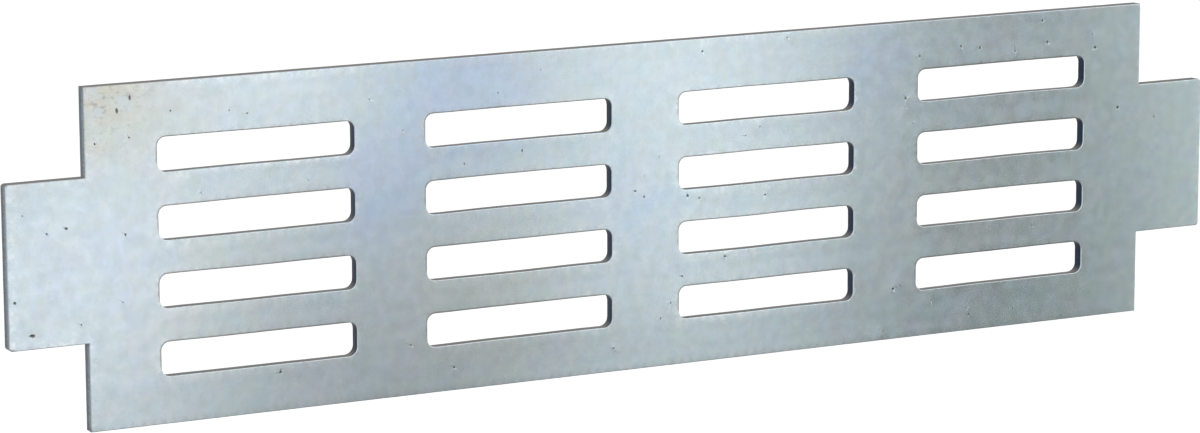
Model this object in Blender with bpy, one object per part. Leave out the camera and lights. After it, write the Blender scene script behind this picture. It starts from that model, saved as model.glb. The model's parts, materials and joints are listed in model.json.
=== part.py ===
"""Slotted air grille plate: one flat zinc-plated steel plate, sixteen slots and a tab at each end.

Metres, +Z up. X runs along the plate, and the front face looks towards -Y. The origin is the
centre of the back face.
"""

import math

import bmesh
import bpy
from mathutils import Vector

# Plate
PLATE_LENGTH = 0.358
PLATE_HEIGHT = 0.100
PLATE_THICKNESS = 0.004

# End tabs, cut from the same sheet and centred on the plate's height
TAB_LENGTH = 0.024
TAB_HEIGHT = 0.048
TAB_CORNER_RADIUS = 0.001

# Slots
COLUMNS = 4
ROWS = 4
SLOT_LENGTH = 0.0615
SLOT_HEIGHT = 0.010
SLOT_CORNER_RADIUS = 0.0025
COLUMN_PITCH = 0.0845
ROW_PITCH = 0.020
COLUMNS_RIGHT_OF_CENTRE = 0.0005
ROWS_BELOW_CENTRE = 0.001
LAST_COLUMN_RISE = 0.0008  # the last column sits this much higher than the others

# Edges and resolution
ARRIS_WIDTH = 0.00025  # deburring chamfer all round the sheet and round each slot
ARC_STEPS = 5
WELD_DISTANCE = 1e-6

# Finish: blue-passivated zinc
ZINC_COLOUR = (0.58, 0.63, 0.66, 1.0)
ZINC_ROUGHNESS = 0.42
ZINC_METALLIC = 0.9


def clear_scene():
    for obj in list(bpy.data.objects):
        bpy.data.objects.remove(obj, do_unlink=True)


def make_collection(name):
    collection = bpy.data.collections.new(name)
    bpy.context.scene.collection.children.link(collection)
    return collection


def make_material(name, colour, roughness, metallic):
    material = bpy.data.materials.new(name)
    material.use_nodes = True
    material.diffuse_color = colour
    shader = material.node_tree.nodes["Principled BSDF"]
    shader.inputs["Base Color"].default_value = colour
    shader.inputs["Roughness"].default_value = roughness
    shader.inputs["Metallic"].default_value = metallic
    return material


def rounded_corner(corner, before, after, radius):
    """Points of the arc that rounds a right-angled corner of an outline."""
    to_before = (before - corner).normalized() * radius
    to_after = (after - corner).normalized() * radius
    centre = corner + to_before + to_after
    points = []
    for step in range(ARC_STEPS + 1):
        angle = math.radians(90) * step / ARC_STEPS
        points.append(centre - to_after * math.cos(angle) - to_before * math.sin(angle))
    return points


def rounded_outline(corners, radii):
    """Closed outline through the corners, each with its own radius, or sharp where that is 0."""
    outline = []
    for index, (corner, radius) in enumerate(zip(corners, radii)):
        if radius == 0:
            outline.append(corner)
            continue
        before = corners[index - 1]
        after = corners[(index + 1) % len(corners)]
        outline.extend(rounded_corner(corner, before, after, radius))
    return outline


def plate_outline():
    """Outline of the plate with its two end tabs, anticlockwise as the back is seen."""
    end = PLATE_LENGTH / 2
    tip = end + TAB_LENGTH
    top = PLATE_HEIGHT / 2
    shoulder = TAB_HEIGHT / 2
    right_half = [
        (end, -top, 0),
        (end, -shoulder, 0),
        (tip, -shoulder, TAB_CORNER_RADIUS),
        (tip, shoulder, TAB_CORNER_RADIUS),
        (end, shoulder, 0),
        (end, top, 0),
    ]
    left_half = [(-x, -z, radius) for x, z, radius in right_half]
    both = right_half + left_half
    return rounded_outline([Vector((x, z)) for x, z, _ in both], [radius for _, _, radius in both])


def slot_outline(centre):
    """Outline of one rounded slot."""
    half_length = SLOT_LENGTH / 2
    half_height = SLOT_HEIGHT / 2
    signs = [(-1, -1), (1, -1), (1, 1), (-1, 1)]
    corners = [centre + Vector((x * half_length, z * half_height)) for x, z in signs]
    return rounded_outline(corners, [SLOT_CORNER_RADIUS] * len(corners))


def slot_centres():
    """Centres of the slots, column by column."""
    centres = []
    for column in range(COLUMNS):
        x = (column - (COLUMNS - 1) / 2) * COLUMN_PITCH + COLUMNS_RIGHT_OF_CENTRE
        rise = LAST_COLUMN_RISE if column == COLUMNS - 1 else 0
        for row in range(ROWS):
            z = (row - (ROWS - 1) / 2) * ROW_PITCH - ROWS_BELOW_CENTRE + rise
            centres.append(Vector((x, z)))
    return centres


def add_closed_spline(curve, outline):
    spline = curve.splines.new("POLY")
    spline.points.add(len(outline) - 1)
    for point, position in zip(spline.points, outline):
        point.co = (position.x, position.y, 0, 1)
    spline.use_cyclic_u = True


def make_flat_curve(name, outline, holes, thickness, chamfer):
    """Filled 2D curve as thick as the sheet, with its edges broken by a chamfer."""
    curve = bpy.data.curves.new(name, "CURVE")
    curve.dimensions = "2D"
    curve.fill_mode = "BOTH"
    curve.extrude = thickness / 2 - chamfer
    curve.bevel_depth = chamfer
    curve.bevel_resolution = 0
    curve.offset = -chamfer  # the chamfer would otherwise stand out past the outline
    add_closed_spline(curve, outline)
    for hole in holes:
        add_closed_spline(curve, hole[::-1])
    curve_object = bpy.data.objects.new(name, curve)
    bpy.context.scene.collection.objects.link(curve_object)
    return curve_object


def make_mesh_object(name, curve_object, collection):
    """Mesh object made from a curve, with the curve's loose caps joined to its sides."""
    bpy.context.view_layer.update()
    graph = bpy.context.evaluated_depsgraph_get()
    mesh = bpy.data.meshes.new_from_object(curve_object.evaluated_get(graph))
    bpy.data.objects.remove(curve_object, do_unlink=True)
    work = bmesh.new()
    work.from_mesh(mesh)
    bmesh.ops.remove_doubles(work, verts=work.verts, dist=WELD_DISTANCE)
    bmesh.ops.recalc_face_normals(work, faces=work.faces)
    work.to_mesh(mesh)
    work.free()
    mesh.name = name
    made = bpy.data.objects.new(name, mesh)
    collection.objects.link(made)
    return made


def build_slotted_plate(collection):
    slots = [slot_outline(centre) for centre in slot_centres()]
    curve_object = make_flat_curve(
        "plate_outline", plate_outline(), slots, PLATE_THICKNESS, ARRIS_WIDTH
    )
    plate = make_mesh_object("slotted_plate", curve_object, collection)
    plate.rotation_euler.x = math.radians(90)
    plate.location.y = -PLATE_THICKNESS / 2
    zinc = make_material("zinc_plated_steel", ZINC_COLOUR, ZINC_ROUGHNESS, ZINC_METALLIC)
    plate.data.materials.append(zinc)


clear_scene()
build_slotted_plate(make_collection("air_grille"))
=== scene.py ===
"""Looks of the slotted air grille plate: a finer mesh, its zinc finish, a white studio, the camera."""

import json
import math
import random

import bmesh
import bpy
from mathutils import Matrix, Vector, kdtree, noise
from mathutils.geometry import delaunay_2d_cdt


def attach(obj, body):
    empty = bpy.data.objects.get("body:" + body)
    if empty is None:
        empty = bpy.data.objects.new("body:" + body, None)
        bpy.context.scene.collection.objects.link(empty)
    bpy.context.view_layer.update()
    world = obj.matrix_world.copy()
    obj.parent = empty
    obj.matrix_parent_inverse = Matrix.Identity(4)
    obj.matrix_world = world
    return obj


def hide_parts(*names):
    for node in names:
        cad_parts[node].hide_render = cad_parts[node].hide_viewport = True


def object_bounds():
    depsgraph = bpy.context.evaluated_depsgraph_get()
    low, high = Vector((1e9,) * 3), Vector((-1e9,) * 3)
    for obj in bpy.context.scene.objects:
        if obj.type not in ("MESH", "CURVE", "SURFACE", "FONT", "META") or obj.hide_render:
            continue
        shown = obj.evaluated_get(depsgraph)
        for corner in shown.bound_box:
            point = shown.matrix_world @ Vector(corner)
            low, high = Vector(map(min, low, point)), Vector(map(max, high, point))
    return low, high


PLATE_NODE = "slotted_plate"
MM = 0.001

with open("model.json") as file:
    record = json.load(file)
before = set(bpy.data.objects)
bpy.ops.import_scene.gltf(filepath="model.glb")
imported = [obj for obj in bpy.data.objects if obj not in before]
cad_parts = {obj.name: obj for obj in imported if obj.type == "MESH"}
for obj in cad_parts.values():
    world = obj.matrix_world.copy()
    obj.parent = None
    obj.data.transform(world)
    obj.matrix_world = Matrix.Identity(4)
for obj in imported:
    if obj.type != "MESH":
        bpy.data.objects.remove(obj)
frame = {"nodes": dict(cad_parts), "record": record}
cad_low, cad_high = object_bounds()
cad_centre = (cad_low + cad_high) / 2
cad_size = cad_high - cad_low
mounts = {mount["name"]: Vector(mount["pos_m"]) for mount in frame["record"]["mounts"]}


# Outlines of the plate and its slots, read from the CAD solid

WELD_DISTANCE = 0.001 * MM
STRAIGHT_ANGLE = math.radians(0.5)
OUTLINE_STEP = 1.6 * MM


def section_half_way_through(node):
    """The edges where the plane at mid thickness cuts the CAD solid, as a bmesh."""
    section = bmesh.new()
    section.from_mesh(frame["nodes"][node].data)
    bmesh.ops.remove_doubles(section, verts=section.verts, dist=WELD_DISTANCE)
    bmesh.ops.bisect_plane(
        section,
        geom=section.verts[:] + section.edges[:] + section.faces[:],
        plane_co=cad_centre,
        plane_no=(0, 1, 0),
        clear_inner=True,
        clear_outer=True,
    )
    bmesh.ops.dissolve_limit(
        section, angle_limit=STRAIGHT_ANGLE, verts=section.verts[:], edges=section.edges[:]
    )
    return section


def walk_loop(edge, unused):
    """The points of one closed run of edges as (x, z), taking its edges out of unused."""
    start = edge.verts[0]
    here = edge.verts[1]
    points = [start.co.xz]
    unused.discard(edge)
    while here != start:
        points.append(here.co.xz)
        edge = next(e for e in here.link_edges if e in unused)
        unused.discard(edge)
        here = edge.other_vert(here)
    return points


def signed_area(points):
    """The area inside a closed outline, above 0 where it runs anticlockwise."""
    ahead = points[1:] + points[:1]
    return sum(a.cross(b) for a, b in zip(points, ahead)) / 2


def split_long_runs(points):
    """The same closed outline with no two neighbours further apart than OUTLINE_STEP."""
    finer = []
    for here, ahead in zip(points, points[1:] + points[:1]):
        pieces = max(1, math.ceil((ahead - here).length / OUTLINE_STEP))
        finer += [here.lerp(ahead, k / pieces) for k in range(pieces)]
    return finer


def read_outlines(node):
    """The plate's own outline first, then its slots; each runs with the metal on its left."""
    section = section_half_way_through(node)
    unused = set(section.edges)
    loops = []
    for edge in section.edges:
        if edge in unused:
            loops.append(walk_loop(edge, unused))
    section.free()
    loops.sort(key=lambda points: -abs(signed_area(points)))
    turned = []
    for index, points in enumerate(loops):
        wants_left_turn = index == 0
        if (signed_area(points) > 0) != wants_left_turn:
            points = points[::-1]
        turned.append(split_long_runs(points))
    return turned


# Small unevenness of a sheared and plated sheet

SLOT_WANDER = 0.20 * MM
SLOT_WANDER_LENGTH = 24 * MM
EDGE_NIBBLE = 0.05 * MM
EDGE_NIBBLE_LENGTH = 4 * MM
SHEET_WAVE = 0.05 * MM
SHEET_WAVE_LENGTH = 60 * MM
WANDER_SEED = Vector((3.7, 11.2, 5.9))
NIBBLE_SEED = Vector((6.4, 9.5, 1.3))
WAVE_SEED = Vector((17.1, 2.3, 8.8))
LEAST_CORNER_SHARE = 0.5  # holds back the offset of a sharp corner


def noise_at(point, length, seed):
    """Smooth noise between -1 and 1 at a point (x, z), its bumps about that length across."""
    return noise.noise(Vector((point.x, 0, point.y)) / length + seed)


def wander(point):
    """How far a slot's outline strays from its true place there."""
    across = noise_at(point, SLOT_WANDER_LENGTH, WANDER_SEED)
    upward = noise_at(point, SLOT_WANDER_LENGTH, WANDER_SEED.zxy)
    return Vector((across, upward)) * SLOT_WANDER


def metal_directions(points):
    """For each point of an outline the direction into the metal, longer at a corner.

    The extra length keeps an offset outline parallel to the first one.
    """
    directions = []
    count = len(points)
    for index in range(count):
        before = (points[index] - points[index - 1]).normalized()
        after = (points[(index + 1) % count] - points[index]).normalized()
        left_before = Vector((-before.y, before.x))
        left_after = Vector((-after.y, after.x))
        middle = (left_before + left_after).normalized()
        directions.append(middle / max(LEAST_CORNER_SHARE, middle.dot(left_after)))
    return directions


def uneven_outline(points, is_slot):
    """The outline as cut. The plate's own never reaches past the true one."""
    directions = metal_directions(points)
    uneven = []
    for point, direction in zip(points, directions):
        nibble = noise_at(point, EDGE_NIBBLE_LENGTH, NIBBLE_SEED)
        shift = direction * EDGE_NIBBLE * (1 + nibble) / 2
        if is_slot:
            shift += wander(point)
        uneven.append(point + shift)
    return uneven


# Shape of a cut edge, from the front face through the sheet to the back face

FRONT_ROUND = 0.24 * MM
FRONT_ROUND_STEPS = 3
BACK_ROUND = 0.15 * MM
BACK_ROUND_STEPS = 2
SHEARED_SHARE = 0.42
FRACTURE_DEPTH = 0.05 * MM
SLOT_BREAKOUT = 0.20 * MM


def edge_profile(is_slot):
    """(inset into the metal, depth behind the front face) for each ring of points round an edge."""
    profile = []
    for step in range(FRONT_ROUND_STEPS + 1):
        turn = math.pi / 2 * step / FRONT_ROUND_STEPS
        profile.append((FRONT_ROUND * (1 - math.sin(turn)), FRONT_ROUND * (1 - math.cos(turn))))
    thickness = cad_size.y
    sheared_end = thickness * SHEARED_SHARE
    profile.append((0, sheared_end))
    profile.append((FRACTURE_DEPTH, sheared_end + 2 * FRACTURE_DEPTH))
    rear_inset = FRACTURE_DEPTH + (SLOT_BREAKOUT if is_slot else 0)
    profile.append((rear_inset, thickness - BACK_ROUND))
    for step in range(1, BACK_ROUND_STEPS + 1):
        turn = math.pi / 2 * step / BACK_ROUND_STEPS
        inset = rear_inset + BACK_ROUND * (1 - math.cos(turn))
        profile.append((inset, thickness - BACK_ROUND * (1 - math.sin(turn))))
    return profile


# Dents, pits and tarnish of the faces. Their places are in millimetres from the plate's middle.

PIT_RINGS = 3
PIT_SPOKES = 9
PIT_DEPTH_SHARE = 0.22  # of the pit's radius
PIT_CLEARANCE = 1.2 * MM
SCATTERED_PITS = 46
SCATTERED_RADII = (0.14 * MM, 0.34 * MM)
SCATTERED_STRETCHES = (0.7, 1.8)
FRONT_SEED = 41
BACK_SEED = 42
FRONT_DENTS = (
    # x, z, radius, how many times taller than wide
    (-169, 42.5, 0.50, 2.2), (-165, 46, 0.42, 2.6), (-185, 10, 0.55, 1.0), (-196, -20, 1.05, 0.6),
    (-201, -10, 0.50, 1.2), (-120, -38.5, 0.55, 1.0), (-64, -43, 0.45, 1.2), (-41, 20.5, 0.35, 2.0),
    (-3, 5, 0.50, 0.8), (0, 3, 0.35, 1.6), (15, 2, 0.55, 1.0), (19, 1, 0.40, 1.0),
    (42, 0, 0.45, 0.8), (28, -18, 0.50, 0.7), (20, 46, 0.50, 0.8), (97, 39, 0.45, 1.2),
    (112, 41, 0.45, 1.5), (119, 40, 0.50, 1.6), (92, 26, 0.55, 1.0), (132, 38, 0.45, 0.8),
    (142, 47, 0.55, 1.0), (144, 40, 0.60, 1.2), (162, 37, 0.80, 0.8), (171, 17, 0.75, 1.0),
    (185, 13, 0.45, 1.0), (88, -34, 0.55, 1.1), (116, -45, 0.40, 1.0),
)
BACK_DENTS = (
    (60, 44, 0.50, 1.6), (-150, 40, 0.60, 1.0), (-38, -18, 0.45, 2.0),
    (172, -30, 0.55, 1.0), (190, 8, 0.40, 1.4),
)
FRONT_BLOOMS = (
    # x, z, radius, strength (above 0 bluer, below 0 warmer)
    (-60, 40, 24, 1.0), (-86, 10, 18, 0.8), (-5, 0, 18, 0.5), (80, 38, 18, 0.5), (-170, 0, 24, 0.4),
    (-165, 40, 20, -1.0), (-145, -15, 26, -0.6), (-55, -25, 28, -0.7), (115, -8, 28, -0.5),
)
BACK_BLOOMS = (
    (120, 35, 26, 0.9), (-10, -30, 26, 0.7), (-150, 20, 24, 0.6),
    (150, -30, 22, -0.8), (20, 35, 24, -0.6), (-60, 10, 22, -0.6),
)

FACE_STEP = 3.2 * MM


def face_place(x, z):
    """The place (x, z) in metres of a point given in millimetres from the plate's middle."""
    return cad_centre.xz + Vector((x, z)) * MM


def in_box(point, points, margin):
    """Whether a point (x, z) is in the box round these points, or within the margin of it."""
    across = [p.x for p in points]
    upward = [p.y for p in points]
    return (
        min(across) - margin < point.x < max(across) + margin
        and min(upward) - margin < point.y < max(upward) + margin
    )


def is_inside(point, points):
    """Whether a closed outline goes round the point (x, z)."""
    inside = False
    for a, b in zip(points, points[1:] + points[:1]):
        crosses = (a.y > point.y) != (b.y > point.y)
        if crosses and point.x < a.x + (point.y - a.y) / (b.y - a.y) * (b.x - a.x):
            inside = not inside
    return inside


def in_metal(point, outlines, clearance):
    """Whether a point (x, z) is on the face, and clear of every edge of it."""
    if not is_inside(point, outlines[0]):
        return False
    if min((point - p).length for p in outlines[0]) < clearance:
        return False
    return not any(in_box(point, slot, clearance) for slot in outlines[1:])


def scatter_pits(outlines, seed, dents):
    """The dents and then random pits as (centre, radius, stretch), each clear of the edges."""
    chance = random.Random(seed)
    pits = [(face_place(x, z), radius * MM, stretch) for x, z, radius, stretch in dents]
    while len(pits) < len(dents) + SCATTERED_PITS:
        x = chance.uniform(cad_low.x, cad_high.x)
        z = chance.uniform(cad_low.z, cad_high.z)
        radius = chance.uniform(*SCATTERED_RADII)
        if in_metal(Vector((x, z)), outlines, PIT_CLEARANCE):
            pits.append((Vector((x, z)), radius, chance.uniform(*SCATTERED_STRETCHES)))
    return pits


def bloom_at(place, blooms):
    """How much bluer (above 0) or warmer (below 0) the passivation is at (x, z)."""
    total = 0.0
    for x, z, radius, strength in blooms:
        distance = (place - face_place(x, z)).length / (radius * MM)
        total += strength * math.exp(-distance * distance)
    return total


def pit_points(centre, radius, stretch):
    """The points that a pit needs: (place, depth share), from its middle to its rim."""
    points = [(centre, 1.0)]
    for ring in range(1, PIT_RINGS + 1):
        share = ring / PIT_RINGS
        for spoke in range(PIT_SPOKES):
            angle = 2 * math.pi * (spoke + ring / 2) / PIT_SPOKES
            place = centre + Vector((math.cos(angle), math.sin(angle) * stretch)) * radius * share
            points.append((place, (1 - share * share) ** 2))
    return points


def is_clear_of_pit(point, centre, radius, stretch):
    """Whether a lattice point (x, z) leaves enough room round a pit."""
    return (point - centre).length > radius * max(1, stretch) + FACE_STEP / 3


def field_points(outlines, pits):
    """A triangular lattice of points over the plate, leaving room round the outlines and the pits."""
    crowd = kdtree.KDTree(sum(map(len, outlines)))
    for index, point in enumerate(p for points in outlines for p in points):
        crowd.insert(point.to_3d(), index)
    crowd.balance()
    row_step = FACE_STEP * math.sqrt(3) / 2
    rows = math.ceil(cad_size.z / row_step)
    columns = math.ceil(cad_size.x / FACE_STEP)
    found = []
    for row in range(rows + 1):
        for column in range(columns + 1):
            x = cad_low.x + (column + (row % 2) / 2) * FACE_STEP
            z = cad_low.z + row * row_step
            point = Vector((x, z))
            if crowd.find(point.to_3d())[2] < FACE_STEP / 2:
                continue
            if any(in_box(point, slot, 0) for slot in outlines[1:]):
                continue
            if all(is_clear_of_pit(point, *pit) for pit in pits):
                found.append(point)
    return found


# Assembly of the plate's mesh

TRIANGLES_INSIDE = 1  # makes delaunay_2d_cdt return the triangles inside the outer outline
MASKS = ("wall", "slot_wall", "upward_wall", "rim", "grime", "pit", "bloom")
LARGEST_FACE_WEIGHT = 100  # lets the flat faces set the normals where the rounding meets them


class PlateBuilder:
    """Gathers the points, faces and masks of the visible plate.

    A mask is a number at each point that the material reads: on a cut wall, on a slot's wall, on a
    wall that faces up, on a rounded edge, where painted shade darkens a slot's left and upper rims, how
    deep in a pit, and how blue.
    """

    def __init__(self):
        self.points = []
        self.faces = []
        self.masks = {name: [] for name in MASKS}

    def add_point(self, place, depth, **masks):
        """place is (x, z), and depth is measured back from the front face. Masks not given are 0."""
        self.points.append((place.x, cad_low.y + depth, place.y))
        blooms = FRONT_BLOOMS if depth < cad_size.y / 2 else BACK_BLOOMS
        masks["bloom"] = bloom_at(place, blooms)
        for name in MASKS:
            self.masks[name].append(masks.get(name, 0.0))
        return len(self.points) - 1

    def add_edge_band(self, points, is_slot):
        """The rounded and cut edge of one outline.

        Returns its ring on the front face and its ring on the back face, each as (places, indices).
        """
        directions = metal_directions(points)
        rings = []
        for inset, depth in edge_profile(is_slot):
            is_wall = FRONT_ROUND < depth + WELD_DISTANCE and depth <= cad_size.y - BACK_ROUND
            on_wall = 1.0 if is_wall else 0.0
            places = [p + d * inset for p, d in zip(points, directions)]
            indices = [
                self.add_point(
                    place,
                    depth,
                    wall=on_wall,
                    slot_wall=on_wall * is_slot,
                    upward_wall=max(0, -direction.y) ** 2,
                    rim=1 - on_wall,
                    # painted shade mask: 1 on a slot's left and upper edges, where a dark reflection is
                    # painted
                    grime=is_slot * min(1, max(0, direction.y - direction.x)),
                )
                for place, direction in zip(places, directions)
            ]
            rings.append((places, indices))
        count = len(points)
        for (_, upper), (_, lower) in zip(rings, rings[1:]):
            for k in range(count):
                following = (k + 1) % count
                self.faces.append((upper[k], upper[following], lower[following], lower[k]))
        return rings[0], rings[-1]

    def add_face(self, rings, depth, pits, inward):
        """One flat side of the sheet, filled between its rings, with its pits.

        inward is 1 where the metal lies towards +Y of this side, and -1 where it lies towards -Y.
        """
        places = []
        indices = []
        edges = []
        for ring_places, ring_indices in rings:
            first = len(places)
            count = len(ring_places)
            places += ring_places
            indices += ring_indices
            edges += [(first + k, first + (k + 1) % count) for k in range(count)]
        outlines = [ring_places for ring_places, _ in rings]
        ring_total = len(places)
        for centre, radius, stretch in pits:
            for place, share in pit_points(centre, radius, stretch):
                places.append(place)
                sunk = depth + inward * radius * PIT_DEPTH_SHARE * share
                indices.append(self.add_point(place, sunk, pit=share))
        for place in field_points(outlines, pits):
            places.append(place)
            wave = (1 + noise_at(place, SHEET_WAVE_LENGTH, WAVE_SEED)) / 2
            indices.append(self.add_point(place, depth + inward * SHEET_WAVE * wave))
        triangulation = delaunay_2d_cdt(places, edges, [], TRIANGLES_INSIDE, WELD_DISTANCE / 10)
        triangles, origins = triangulation[2], triangulation[3]
        for triangle in triangles:
            corners = [origins[corner][0] for corner in triangle]
            middle = sum((places[corner] for corner in corners), Vector((0, 0))) / 3
            on_rings = max(corners) < ring_total
            if on_rings and any(is_inside(middle, slot) for slot in outlines[1:]):
                continue
            self.faces.append([indices[corner] for corner in corners])

    def make_object(self, name):
        mesh = bpy.data.meshes.new(name)
        mesh.from_pydata(self.points, [], self.faces)
        for mask_name, values in self.masks.items():
            attribute = mesh.attributes.new(mask_name, "FLOAT", "POINT")
            attribute.data.foreach_set("value", values)
        mesh.validate()
        tidy = bmesh.new()
        tidy.from_mesh(mesh)
        loose = [vert for vert in tidy.verts if not vert.link_faces]
        bmesh.ops.delete(tidy, geom=loose, context="VERTS")
        bmesh.ops.recalc_face_normals(tidy, faces=tidy.faces)
        tidy.to_mesh(mesh)
        tidy.free()
        mesh.shade_smooth()
        plate = bpy.data.objects.new(name, mesh)
        bpy.context.scene.collection.objects.link(plate)
        return plate


def build_plate():
    builder = PlateBuilder()
    fronts = []
    backs = []
    for index, points in enumerate(read_outlines(PLATE_NODE)):
        is_slot = index > 0
        front, back = builder.add_edge_band(uneven_outline(points, is_slot), is_slot)
        fronts.append(front)
        backs.append(back)
    front_outlines = [places for places, _ in fronts]
    front_pits = scatter_pits(front_outlines, FRONT_SEED, FRONT_DENTS)
    back_pits = scatter_pits(front_outlines, BACK_SEED, BACK_DENTS)
    builder.add_face(fronts, 0, front_pits, inward=1)
    builder.add_face(backs, cad_size.y, back_pits, inward=-1)
    plate = builder.make_object("zinc_plate")
    weighted = plate.modifiers.new("even_normals", "WEIGHTED_NORMAL")
    weighted.mode = "FACE_AREA"
    weighted.weight = LARGEST_FACE_WEIGHT
    weighted.keep_sharp = True
    return plate


plate = build_plate()


# Node helpers. The MIX numbers are the sockets of a Mix node that mixes colours.

MIX_SHARE = 0
MIX_FIRST = 6
MIX_SECOND = 7
MIX_RESULT = 2


def add_node(tree, kind, inputs=None, **settings):
    """A new node with its settings.

    inputs maps a socket's name or number to a value, or to the socket that feeds it.
    """
    node = tree.nodes.new(kind)
    for name, value in settings.items():
        setattr(node, name, value)
    for key, value in (inputs or {}).items():
        socket = node.inputs[key]
        if isinstance(value, bpy.types.NodeSocket):
            tree.links.new(value, socket)
        else:
            socket.default_value = value
    return node


def add_noise(tree, place, scale, detail=3.0, roughness=0.5, distortion=0.0):
    """A noise pattern, 0 to 1, whose bumps are about 1 / scale across."""
    inputs = {
        "Vector": place,
        "Scale": scale,
        "Detail": detail,
        "Roughness": roughness,
        "Distortion": distortion,
    }
    return add_node(tree, "ShaderNodeTexNoise", inputs, noise_dimensions="3D").outputs["Fac"]


def remap(tree, value, low, high, to_low=0.0, to_high=1.0):
    """value taken smoothly from low..high to to_low..to_high, and held at the ends."""
    inputs = {"Value": value, "From Min": low, "From Max": high, "To Min": to_low, "To Max": to_high}
    return add_node(
        tree, "ShaderNodeMapRange", inputs, interpolation_type="SMOOTHSTEP", clamp=True
    ).outputs["Result"]


def calculate(tree, operation, first, second):
    """The result of a Math node, such as ADD or MULTIPLY."""
    return add_node(tree, "ShaderNodeMath", {0: first, 1: second}, operation=operation).outputs[0]


def mix_colours(tree, share, first, second, blend="MIX"):
    """The first colour with that share of the second over it, blended as the blend says."""
    node = add_node(tree, "ShaderNodeMix", data_type="RGBA", blend_type=blend)
    for index, value in ((MIX_SHARE, share), (MIX_FIRST, first), (MIX_SECOND, second)):
        if isinstance(value, bpy.types.NodeSocket):
            tree.links.new(value, node.inputs[index])
        else:
            node.inputs[index].default_value = value
    return node.outputs[MIX_RESULT]


def scaled_place(tree, place, factors):
    return add_node(
        tree, "ShaderNodeVectorMath", {0: place, 1: factors}, operation="MULTIPLY"
    ).outputs["Vector"]


def mask(tree, name):
    """One of the masks that PlateBuilder gave the plate's points."""
    return add_node(tree, "ShaderNodeAttribute", attribute_name=name).outputs["Fac"]


# Zinc finish: its colours

CLEAR_ZINC = (0.665, 0.755, 0.810, 1)
BLUE_ZINC = (0.610, 0.720, 0.880, 1)
WARM_ZINC = (0.690, 0.750, 0.755, 1)
ROSE_TINT = (1.004, 0.995, 1.006, 1)
GREEN_TINT = (0.972, 1.006, 0.994, 1)
STRAW_TINT = (1.012, 1.002, 0.974, 1)
BLUE_TINT = (0.990, 0.998, 1.020, 1)
CREAM_STAIN = (0.715, 0.710, 0.610, 1)
PIT_BROWN = (0.160, 0.145, 0.135, 1)
SHEARED_METAL = (0.330, 0.400, 0.450, 1)
FRACTURED_METAL = (0.190, 0.230, 0.270, 1)
# Painted shade in the slots: a dark blue multiplied into their walls, partly the walls' own tint and
# partly the dark of the slots
SLOT_SHADE = (0.045, 0.100, 0.180, 1)
DUSTY_METAL = (0.205, 0.195, 0.180, 1)
SMUDGE_BROWN = (0.400, 0.360, 0.310, 1)
WORN_ZINC = (0.800, 0.830, 0.850, 1)
# Painted shade: a dark grey-brown laid on the slots' left and upper rounded edges in place of their
# darker reflection
PAINTED_RIM_SHADE = (0.330, 0.320, 0.290, 1)

# Its patterns. A scale is per millimetre, so a pattern's bumps are about 1 / scale mm across.
# A range is the part of the noise over which the pattern goes from nothing to full, and a stretch
# multiplies the place before the noise is read, which squeezes the bumps along the larger number.

NOISE_MIDDLE = 0.5
CLOUD_SCALE = 0.11
FULL_BLOOM = 0.9
ROSE_SCALE = 0.085
ROSE_STRETCH = (1.0, 1.0, 1.3)
STRAW_SCALE = 0.16
STRAW_STRETCH = (1.2, 1.0, 1.0)
TINT_RANGE = (0.36, 0.64)
MOTTLE_SCALE = 0.30
MOTTLE_BRIGHTNESS = (0.955, 1.035)
GRAIN_SCALE = 1.8
GRAIN_BRIGHTNESS = (0.975, 1.025)
BRIGHTNESS_RANGE = (0.25, 0.75)
STAIN_SCALE = 0.16
STAIN_RANGE = (0.34, 0.60)
STAIN_REACH = (2.0, 30.0)  # mm from the corner, from full to none
BLOT_SCALE = 0.45
BLOT_STRETCH = (1.0, 1.0, 1.6)
BLOT_RANGE = (0.50, 0.70)
BLOT_STRENGTH = 0.7
SCRATCH_TURNS = (math.radians(24), math.radians(-52), math.radians(81))
SCRATCH_SCALES = (0.03, 0.03, 1.3)
SCRATCH_RANGE = (0.70, 0.76)
SCRATCH_STRENGTH = 0.16
SCRATCH_DEPTH = 0.5  # of the texture's height
WEAR_SCALE = 0.35
WEAR_RANGE = (0.42, 0.66)
WEAR_STRENGTH = 0.6
SHEAR_BLEND = (-0.1, 0.35)  # mm behind the end of the sheared band
STREAK_SCALE = 2.4
STREAK_STRETCH = (1.0, 0.12, 1.0)
STREAK_RANGE = (0.28, 0.72)
STREAK_BRIGHTNESS = (0.75, 1.2)
PAINTED_RIM_SHADE_RANGE = (0.86, 1.0)  # of the mask of painted shade on the slots' left and upper rims
PAINTED_RIM_SHADE_STRENGTH = 0.7
PIT_RANGE = (0.0, 0.55)  # of the pit mask
PIT_STRENGTH = 0.9
HAZE_SCALE = 0.21
HAZE_RANGE = (0.3, 0.7)
HAZE_ROUGHNESS = (0.24, 0.27)
WALL_ROUGHER = 0.12
WEAR_SMOOTHER = 0.04
TEXTURE_SCALE = 1.0
BUMP_DEPTH = 0.0010 * MM


def tint_patches(tree, place, scale, first, second):
    """A cloudy pattern that runs from one faint tint to another."""
    cloud = add_noise(tree, place, scale, detail=4, roughness=0.6, distortion=0.3)
    return mix_colours(tree, remap(tree, cloud, *TINT_RANGE), first, second)


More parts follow.
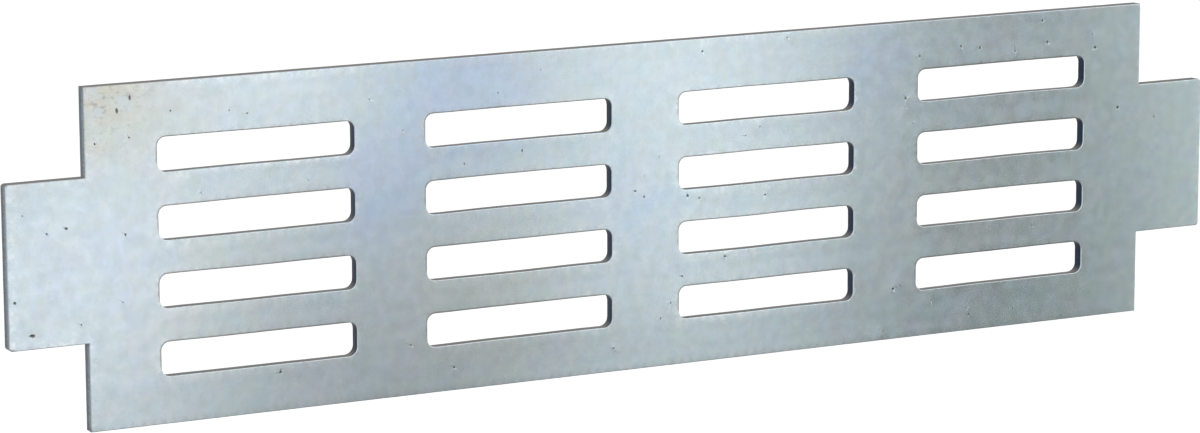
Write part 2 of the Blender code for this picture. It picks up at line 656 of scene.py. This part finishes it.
def zinc_colour(tree, place):
    """Blue-clear passivated zinc: blooms of faint blue and straw over clouds of rose and green."""
    cloud = add_noise(tree, place, CLOUD_SCALE, detail=5, roughness=0.6)
    uneven = calculate(tree, "SUBTRACT", cloud, NOISE_MIDDLE)
    bloom = calculate(tree, "ADD", mask(tree, "bloom"), uneven)
    colour = mix_colours(tree, remap(tree, bloom, 0.0, FULL_BLOOM), CLEAR_ZINC, BLUE_ZINC)
    colour = mix_colours(tree, remap(tree, bloom, 0.0, -FULL_BLOOM), colour, WARM_ZINC)
    wide = scaled_place(tree, place, ROSE_STRETCH)
    rose = tint_patches(tree, wide, ROSE_SCALE, ROSE_TINT, GREEN_TINT)
    colour = mix_colours(tree, 1.0, colour, rose, "MULTIPLY")
    tall = scaled_place(tree, place, STRAW_STRETCH)
    straw = tint_patches(tree, tall, STRAW_SCALE, STRAW_TINT, BLUE_TINT)
    colour = mix_colours(tree, 1.0, colour, straw, "MULTIPLY")
    mottle = add_noise(tree, place, MOTTLE_SCALE, detail=4, roughness=0.60)
    grain = add_noise(tree, place, GRAIN_SCALE, detail=2, roughness=0.6)
    brightness = calculate(
        tree,
        "MULTIPLY",
        remap(tree, mottle, *BRIGHTNESS_RANGE, *MOTTLE_BRIGHTNESS),
        remap(tree, grain, *BRIGHTNESS_RANGE, *GRAIN_BRIGHTNESS),
    )
    return mix_colours(tree, 1.0, colour, brightness, "MULTIPLY")


def stained(tree, place, colour):
    """A cream stain with brown smudges that fades away from the upper left corner of the plate."""
    corner = Vector((mounts["left_upper_shoulder"].x, cad_low.y, cad_high.z)) / MM
    distance = add_node(
        tree, "ShaderNodeVectorMath", {0: place, 1: corner}, operation="DISTANCE"
    ).outputs["Value"]
    ragged = add_noise(tree, place, STAIN_SCALE, detail=5, roughness=0.65)
    fade = remap(tree, distance, *STAIN_REACH, 1.0, 0.0)
    cream = calculate(tree, "MULTIPLY", fade, remap(tree, ragged, *STAIN_RANGE))
    colour = mix_colours(tree, cream, colour, CREAM_STAIN)
    wide = scaled_place(tree, place, BLOT_STRETCH)
    blots = add_noise(tree, wide, BLOT_SCALE, detail=4, roughness=0.7)
    smudge = calculate(tree, "MULTIPLY", fade, remap(tree, blots, *BLOT_RANGE, 0.0, BLOT_STRENGTH))
    return mix_colours(tree, smudge, colour, SMUDGE_BROWN)


def scratches(tree, place):
    """Fine straight handling scratches in a few directions, 0 to 1."""
    found = None
    for turn in SCRATCH_TURNS:
        mapping = {"Vector": place, "Rotation": (0, turn, 0), "Scale": SCRATCH_SCALES}
        turned = add_node(tree, "ShaderNodeMapping", mapping).outputs["Vector"]
        lines = add_noise(tree, turned, 1.0, detail=1)
        share = remap(tree, lines, *SCRATCH_RANGE)
        found = share if found is None else calculate(tree, "MAXIMUM", found, share)
    return found


def rim_wear(tree, place):
    """Where the plating along the edges is rubbed bright, 0 to 1."""
    ragged = add_noise(tree, place, WEAR_SCALE, detail=5, roughness=0.7)
    return calculate(tree, "MULTIPLY", mask(tree, "rim"), remap(tree, ragged, *WEAR_RANGE))


def cut_edge_colour(tree, place):
    """Sheared metal near the front and darker broken metal behind it.

    In the slots it is darkened to a dark blue, partly its own tint and partly painted shade, and it is
    dusty where it faces up.
    """
    depth = add_node(tree, "ShaderNodeSeparateXYZ", {"Vector": place}).outputs["Y"]
    sheared_end = (cad_low.y + cad_size.y * SHEARED_SHARE) / MM
    broken = remap(tree, depth, *[sheared_end + behind for behind in SHEAR_BLEND])
    colour = mix_colours(tree, broken, SHEARED_METAL, FRACTURED_METAL)
    streaks = add_noise(tree, scaled_place(tree, place, STREAK_STRETCH), STREAK_SCALE, detail=3)
    brightness = remap(tree, streaks, *STREAK_RANGE, *STREAK_BRIGHTNESS)
    colour = mix_colours(tree, 1.0, colour, brightness, "MULTIPLY")
    # Painted shade: the slots' walls are multiplied by SLOT_SHADE, partly their tint and partly the
    # dark of the slots
    slot_tint_and_painted_shade = mix_colours(tree, 1.0, colour, SLOT_SHADE, "MULTIPLY")
    colour = mix_colours(tree, mask(tree, "slot_wall"), colour, slot_tint_and_painted_shade)
    return mix_colours(tree, mask(tree, "upward_wall"), colour, DUSTY_METAL)


def make_zinc_material():
    material = bpy.data.materials.new("blue_clear_zinc")
    material.use_nodes = True
    tree = material.node_tree
    shader = tree.nodes["Principled BSDF"]
    own = add_node(tree, "ShaderNodeTexCoord").outputs["Object"]
    place = scaled_place(tree, own, (1 / MM, 1 / MM, 1 / MM))
    on_wall = mask(tree, "wall")
    wear = rim_wear(tree, place)
    scratched = scratches(tree, place)

    colour = stained(tree, place, zinc_colour(tree, place))
    scratch_share = calculate(tree, "MULTIPLY", scratched, SCRATCH_STRENGTH)
    colour = mix_colours(tree, scratch_share, colour, WORN_ZINC)
    worn_share = calculate(tree, "MULTIPLY", wear, WEAR_STRENGTH)
    colour = mix_colours(tree, worn_share, colour, WORN_ZINC)
    # Painted shade along the slots' left and upper rims, darkening them as a dark reflection would
    grime_share = remap(tree, mask(tree, "grime"), *PAINTED_RIM_SHADE_RANGE, 0.0, PAINTED_RIM_SHADE_STRENGTH)
    colour = mix_colours(tree, grime_share, colour, PAINTED_RIM_SHADE)
    pit_share = remap(tree, mask(tree, "pit"), *PIT_RANGE, 0.0, PIT_STRENGTH)
    colour = mix_colours(tree, pit_share, colour, PIT_BROWN)
    colour = mix_colours(tree, on_wall, colour, cut_edge_colour(tree, place))
    tree.links.new(colour, shader.inputs["Base Color"])
    shader.inputs["Metallic"].default_value = 1.0

    cloud = add_noise(tree, place, HAZE_SCALE, detail=4)
    haze = remap(tree, cloud, *HAZE_RANGE, *HAZE_ROUGHNESS)
    rougher = calculate(tree, "MULTIPLY", on_wall, WALL_ROUGHER)
    smoother = calculate(tree, "MULTIPLY", wear, WEAR_SMOOTHER)
    roughness = calculate(tree, "SUBTRACT", calculate(tree, "ADD", haze, rougher), smoother)
    tree.links.new(roughness, shader.inputs["Roughness"])

    texture = add_noise(tree, place, TEXTURE_SCALE, detail=3, roughness=0.5)
    scratch_depth = calculate(tree, "MULTIPLY", scratched, SCRATCH_DEPTH)
    height = calculate(tree, "SUBTRACT", texture, scratch_depth)
    relief = {"Height": height, "Strength": 1.0, "Distance": BUMP_DEPTH}
    bump = add_node(tree, "ShaderNodeBump", relief)
    tree.links.new(bump.outputs["Normal"], shader.inputs["Normal"])
    return material


plate.data.materials.append(make_zinc_material())
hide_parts(PLATE_NODE)
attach(plate, "root")


# Studio. Softboxes are placed in metres from the plate's middle.

FLOOR_DROP = 0.6
FLOOR_SIZE = 12.0
FLOOR_COLOUR = (0.9, 0.9, 0.9, 1)
FLOOR_ROUGHNESS = 0.8
FLOOR_GLOW = 0.35
WHITE = (1, 1, 1, 1)
ROOM_LIGHT = 0.58
ROOM_LIGHT_SWING = 0.35
ROOM_PALER_TOWARDS = Vector((-0.6, 0, 0.8))
BRIGHT_LIGHT = 0.48
BRIGHT_TOWARDS = (math.radians(54), math.radians(3))
BRIGHT_WITHIN = math.radians(27)
BRIGHT_OUT_TO = math.radians(48)
SHADE_COLOUR = (0.100, 0.110, 0.102, 1)
SHADE_TOWARDS = (math.radians(41), math.radians(-21))
SHADE_WITHIN = math.radians(10)
SHADE_OUT_TO = math.radians(27)
SOFTBOX_DISTANCE = 0.5
FRONT_SOFTBOXES = (
    # name, x from and to, z from and to, brightness, tint
    ("low_softbox", (-0.06, 0.05), (-0.18, -0.05), 0.95, (1.0, 0.98, 1.0)),
    ("narrow_softbox", (0.05, 0.13), (-0.07, 0.16), 1.00, (1.0, 0.99, 1.0)),
    ("middle_softbox", (0.22, 0.35), (-0.18, 0.45), 0.90, (0.98, 1.0, 1.0)),
    ("right_softbox", (0.54, 0.66), (-0.27, 0.45), 0.85, (0.94, 1.0, 0.94)),
)
REAR_SOFTBOXES = (
    ("rear_softbox", (0.30, 0.62), (-0.50, -0.02), 0.60, (1.0, 1.0, 1.0)),
)


def towards(azimuth, elevation):
    """The unit vector that azimuth 0 points along -Y and azimuth 90 degrees along +X."""
    level = math.cos(elevation)
    return Vector((math.sin(azimuth) * level, -math.cos(azimuth) * level, math.sin(elevation)))


def dot_product(tree, first, second):
    return add_node(
        tree, "ShaderNodeVectorMath", {0: first, 1: second}, operation="DOT_PRODUCT"
    ).outputs["Value"]


def round_patch(tree, direction, centre, within, out_to):
    """1 for directions within an angle of the centre, fading to 0 further out."""
    nearness = dot_product(tree, direction, towards(*centre))
    return remap(tree, nearness, math.cos(out_to), math.cos(within))


def make_world():
    """White to the camera, and to everything else a grey room.

    The room is paler to the upper left, with one bright side and one shaded patch.
    """
    world = bpy.data.worlds.new("studio")
    bpy.context.scene.world = world
    world.use_nodes = True
    tree = world.node_tree
    tree.nodes.clear()
    direction = add_node(tree, "ShaderNodeTexCoord").outputs["Generated"]
    upper_left = dot_product(tree, direction, ROOM_PALER_TOWARDS)
    room = calculate(tree, "ADD", calculate(tree, "MULTIPLY", upper_left, ROOM_LIGHT_SWING), ROOM_LIGHT)
    bright = round_patch(tree, direction, BRIGHT_TOWARDS, BRIGHT_WITHIN, BRIGHT_OUT_TO)
    room = calculate(tree, "ADD", calculate(tree, "MULTIPLY", bright, BRIGHT_LIGHT), room)
    shade = round_patch(tree, direction, SHADE_TOWARDS, SHADE_WITHIN, SHADE_OUT_TO)
    light = mix_colours(tree, shade, room, SHADE_COLOUR)
    soft = add_node(tree, "ShaderNodeBackground", {"Color": light, "Strength": 1.0})
    white = add_node(tree, "ShaderNodeBackground", {"Color": WHITE, "Strength": 1.0})
    seen = add_node(tree, "ShaderNodeLightPath").outputs["Is Camera Ray"]
    mixed = add_node(
        tree, "ShaderNodeMixShader", {0: seen, 1: soft.outputs[0], 2: white.outputs[0]}
    )
    add_node(tree, "ShaderNodeOutputWorld", {"Surface": mixed.outputs[0]})


def make_softbox(side, name, across, upward, brightness, tint):
    """A rectangular light parallel to the plate, in front of it at side -1, behind it at side 1."""
    light = bpy.data.lights.new(name, "AREA")
    light.shape = "RECTANGLE"
    light.size = across[1] - across[0]
    light.size_y = upward[1] - upward[0]
    light.energy = brightness * math.pi * light.size * light.size_y
    light.color = tint
    softbox = bpy.data.objects.new(name, light)
    bpy.context.scene.collection.objects.link(softbox)
    offset = Vector((sum(across) / 2, side * SOFTBOX_DISTANCE, sum(upward) / 2))
    softbox.location = cad_centre + offset
    softbox.rotation_euler = (-side * math.pi / 2, 0, 0)
    softbox.visible_camera = False


def make_floor():
    """A pale floor below the plate that reflects nothing onto it."""
    half = FLOOR_SIZE / 2
    corners = [(-half, -half, 0), (half, -half, 0), (half, half, 0), (-half, half, 0)]
    mesh = bpy.data.meshes.new("floor")
    mesh.from_pydata(corners, [], [(0, 1, 2, 3)])
    floor = bpy.data.objects.new("floor", mesh)
    bpy.context.scene.collection.objects.link(floor)
    floor.location.z = cad_low.z - FLOOR_DROP
    floor.visible_glossy = False
    floor.visible_diffuse = False
    material = bpy.data.materials.new("pale_floor")
    material.use_nodes = True
    shader = material.node_tree.nodes["Principled BSDF"]
    shader.inputs["Base Color"].default_value = FLOOR_COLOUR
    shader.inputs["Roughness"].default_value = FLOOR_ROUGHNESS
    shader.inputs["Emission Color"].default_value = WHITE
    shader.inputs["Emission Strength"].default_value = FLOOR_GLOW
    mesh.materials.append(material)


make_world()
make_floor()
for softbox_facts in FRONT_SOFTBOXES:
    make_softbox(-1, *softbox_facts)
for softbox_facts in REAR_SOFTBOXES:
    make_softbox(1, *softbox_facts)
bpy.context.scene.view_settings.view_transform = "Standard"


# Camera

LENS = 132.2
SENSOR_WIDTH = 36.0  # mm, as the lens is
VIEW_AZIMUTH = math.radians(-27.28)
VIEW_ELEVATION = math.radians(10.69)
VIEW_DISTANCE = 1.3261
VIEW_ROLL = math.radians(-0.19)
AIM_OFFSET = Vector((-15.04, -2.0, -1.67)) * MM


def make_camera():
    data = bpy.data.cameras.new("camera")
    data.lens = LENS
    data.sensor_width = SENSOR_WIDTH
    camera = bpy.data.objects.new("camera", data)
    bpy.context.scene.collection.objects.link(camera)
    backward = towards(VIEW_AZIMUTH, VIEW_ELEVATION)
    turn = backward.to_track_quat("Z", "Y").to_matrix() @ Matrix.Rotation(VIEW_ROLL, 3, "Z")
    place = cad_centre + AIM_OFFSET + backward * VIEW_DISTANCE
    camera.matrix_world = Matrix.Translation(place) @ turn.to_4x4()
    bpy.context.scene.camera = camera


make_camera()
